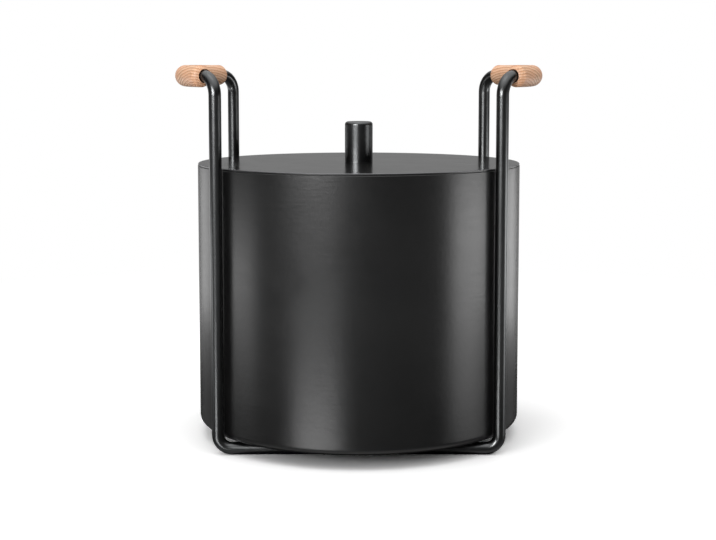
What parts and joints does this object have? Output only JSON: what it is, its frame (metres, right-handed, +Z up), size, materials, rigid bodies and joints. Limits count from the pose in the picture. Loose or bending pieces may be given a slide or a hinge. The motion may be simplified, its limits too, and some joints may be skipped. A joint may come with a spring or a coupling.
{
  "type": "kindling bucket",
  "caption": "Round black steel kindling bucket with a flat lift-off lid and turned knob, carried in bent bar hoops with curved wooden grips.",
  "frame": {"origin": "on the floor, under the middle of the bucket", "axes": "+Z up, the front towards -Y, the two grips at -X and +X"},
  "size_m": [0.3396, 0.3, 0.3448],
  "materials": {
    "sheet_black": "satin black powder coat on steel sheet",
    "bar_black": "dark gunmetal lacquer on steel bar",
    "grip_wood": "oiled beech",
    "zinc_steel": "bright zinc plate"
  },
  "bodies": {
    "bucket": {"bucket_shell": "sheet_black", "front_hoop": "bar_black", "rear_hoop": "bar_black", "left_grip": "grip_wood", "right_grip": "grip_wood"},
    "lid": {"lid_plate": "sheet_black", "lid_ring": "sheet_black", "lid_knob": "bar_black", "knob_washer": "zinc_steel", "knob_screw": "zinc_steel"}
  },
  "joints": [
    {"name": "lid_lift", "type": "slide", "parent": "bucket", "child": "lid", "axis": [0, 0, 1], "range_m": [0, 0.12]}
  ]
}
